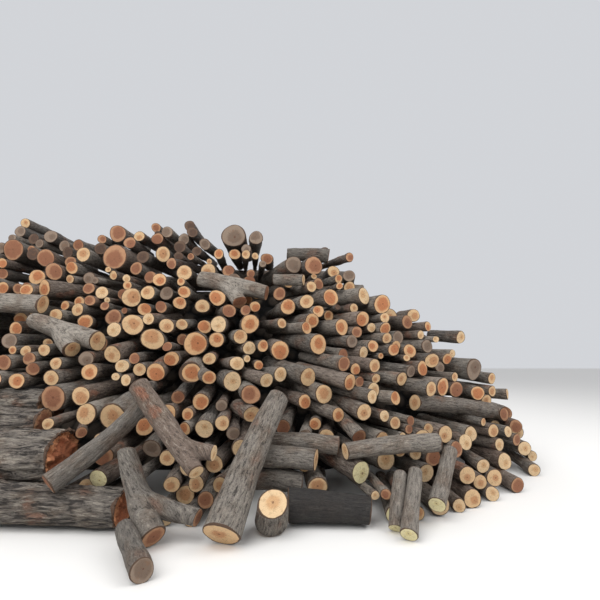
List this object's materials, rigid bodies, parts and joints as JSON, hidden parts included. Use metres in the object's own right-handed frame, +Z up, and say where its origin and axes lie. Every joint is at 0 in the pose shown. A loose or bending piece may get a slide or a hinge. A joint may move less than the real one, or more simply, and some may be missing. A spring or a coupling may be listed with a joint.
{
  "type": "heap of logs",
  "caption": "Long heap of sawn logs with a sloping face of log ends, a few forked and leaning logs at its foot and long logs along its back and flanks.",
  "frame": {"origin": "on the ground, under the middle of the heap's box", "axes": "+X along the heap to the right as seen from its face, +Y from its face to its back, +Z up"},
  "size_m": [9.2918, 6.0834, 3.6543],
  "materials": {
    "log": "grey-brown bark with sawn ends of orange-tan heartwood and pale sapwood",
    "core_fill": "dark plain fill, never in view"
  },
  "bodies": {
    "root": {"back_logs": "log", "big_rough_butt": "log", "broken_log_crest": "log", "charred_log": "log", "core": "core_fill", "course_1_left": "log", "course_1_middle_left": "log", "course_1_middle_right": "log", "course_1_right": "log", "course_2_left": "log", "course_2_middle_left": "log", "course_2_middle_right": "log", "course_2_right": "log", "course_3_left": "log", "course_3_middle_left": "log", "course_3_middle_right": "log", "course_3_right": "log", "course_4_left": "log", "course_4_middle_left": "log", "course_4_middle_right": "log", "course_4_right": "log", "course_5_left": "log", "course_5_middle_left": "log", "course_5_middle_right": "log", "course_5_right": "log", "course_6_left": "log", "course_6_middle_left": "log", "course_6_middle_right": "log", "course_6_right": "log", "course_7_left": "log", "course_7_middle_left": "log", "course_7_middle_right": "log", "course_7_right": "log", "course_8_left": "log", "course_8_middle_left": "log", "course_8_middle_right": "log", "course_8_right": "log", "cross_logs_middle": "log", "forked_log_foot": "log", "forked_log_middle": "log", "ground_log_left": "log", "knobby_log": "log", "leaning_grey_log": "log", "leaning_red_log": "log", "left_flank_logs": "log", "logs_behind_left": "log", "long_cross_log": "log", "long_leaning_log": "log", "pale_cross_log": "log", "pale_forked_log": "log", "pale_forked_log_crest": "log", "right_cross_log": "log", "right_flank_logs": "log", "rough_log_high": "log", "rough_log_low": "log", "stump": "log", "thin_ground_log": "log", "thin_leaning_logs": "log"}
  },
  "joints": []
}
